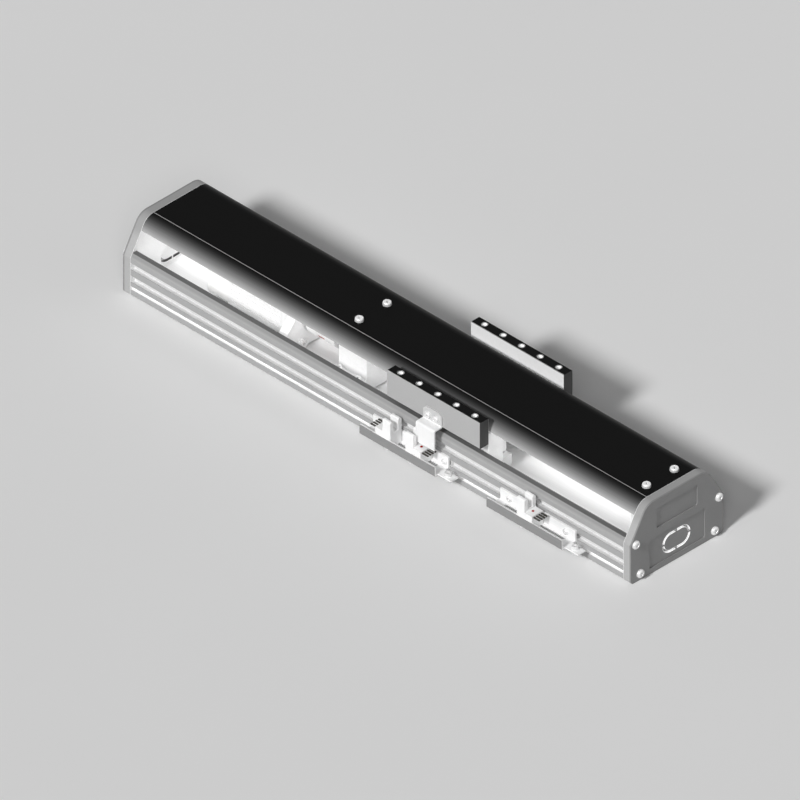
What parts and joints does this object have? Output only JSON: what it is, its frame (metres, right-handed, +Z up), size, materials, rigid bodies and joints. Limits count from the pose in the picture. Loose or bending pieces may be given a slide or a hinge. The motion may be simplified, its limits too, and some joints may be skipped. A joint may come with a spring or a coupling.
{
  "type": "ball screw linear actuator",
  "caption": "Covered single-axis ball screw actuator: extruded base with side slots, guided slider with two upright walls, built-in motor and side position sensors.",
  "frame": {"origin": "centre of the flat bottom face of the base, midway between the end plates", "axes": "+X along the screw from the motor end to the free end, +Z up, -Y the side that carries the sensors"},
  "size_m": [0.5528, 0.1164, 0.0696],
  "materials": {
    "clear_anodised": "extruded, clear anodised, fine lines along its length",
    "plate_anodised": "machined, satin anodised",
    "black_cover": "bent sheet, black anodised, satin gloss",
    "slider_anodised": "machined, satin anodised, dark ground top faces",
    "machined_aluminium": "machined, light",
    "bright_screw": "bright zinc plated",
    "black_screw": "black oxide",
    "rail_steel": "ground",
    "bearing_steel": "ground",
    "screw_steel": "rolled and polished",
    "flag_sheet": "bent stainless sheet",
    "tray_sheet": "bent sheet, satin",
    "motor_shell": "cast and ribbed, light",
    "light_plastic": "moulded, light grey",
    "block_plastic": "moulded, light grey",
    "sensor_plastic": "moulded, fine texture",
    "lamp_plastic": "dark red tinted lens",
    "terminal_brass": "darkened, shown almost black",
    "stop_rubber": "moulded, grey",
    "spider_rubber": "moulded elastomer"
  },
  "bodies": {
    "base": {"base_extrusion": "clear_anodised", "front_end_plate": "plate_anodised", "rear_end_plate": "plate_anodised", "front_plate_screws": "bright_screw", "rear_plate_screws": "bright_screw", "top_cover": "black_cover", "cover_screws": "bright_screw", "near_guide_rail": "rail_steel", "far_guide_rail": "rail_steel", "guide_rail_screws": "black_screw", "fixed_bearing_support": "machined_aluminium", "free_bearing_support": "machined_aluminium", "support_screws": "bright_screw", "fixed_bearing_outer_rings": "bearing_steel", "free_bearing_outer_ring": "bearing_steel", "bearing_retainer": "machined_aluminium", "retainer_screws": "bright_screw", "motor_bracket": "machined_aluminium", "motor_bracket_screws": "bright_screw", "motor_flange": "machined_aluminium", "motor_body": "motor_shell", "encoder_cover": "light_plastic", "motor_connector": "light_plastic", "motor_screws": "bright_screw", "stop_bumpers": "stop_rubber", "rear_sensor_tray": "tray_sheet", "front_sensor_tray": "tray_sheet", "tray_screws": "bright_screw", "tray_end_screws": "bright_screw", "slot_nuts": "bright_screw", "rear_limit_sensor": "sensor_plastic", "home_sensor": "sensor_plastic", "front_limit_sensor": "sensor_plastic", "sensor_screws": "bright_screw", "sensor_terminals": "terminal_brass", "sensor_lamps": "lamp_plastic"},
    "carriage": {"slider": "slider_anodised", "guide_blocks": "bearing_steel", "guide_block_caps": "block_plastic", "guide_block_screws": "black_screw", "ball_nut": "bearing_steel", "nut_flange_screws": "black_screw", "nut_bracket": "machined_aluminium", "nut_bracket_screws": "black_screw", "sensor_flag": "flag_sheet", "flag_screws": "bright_screw"},
    "screw": {"ball_screw": "screw_steel", "fixed_bearing_inner_rings": "bearing_steel", "free_bearing_inner_ring": "bearing_steel", "bearing_spacer": "bearing_steel", "lock_nut": "bearing_steel", "retaining_ring": "bearing_steel", "screw_side_hub": "machined_aluminium", "motor_side_hub": "machined_aluminium", "coupling_spider": "spider_rubber", "coupling_set_screws": "black_screw", "motor_shaft": "screw_steel"}
  },
  "joints": [
    {"name": "carriage_slide", "type": "slide", "parent": "base", "child": "carriage", "axis": [1, 0, 0], "range_m": [-0.0417, 0.1267]},
    {"name": "screw_spin", "type": "hinge", "parent": "base", "child": "screw", "pos_m": [0, 0, 0.031], "axis": [1, 0, 0], "range_deg": [-4570, 1510]}
  ],
  "couplings": [
    {"joint": "screw_spin", "follows": "carriage_slide", "rad_per_m": -628.32}
  ]
}
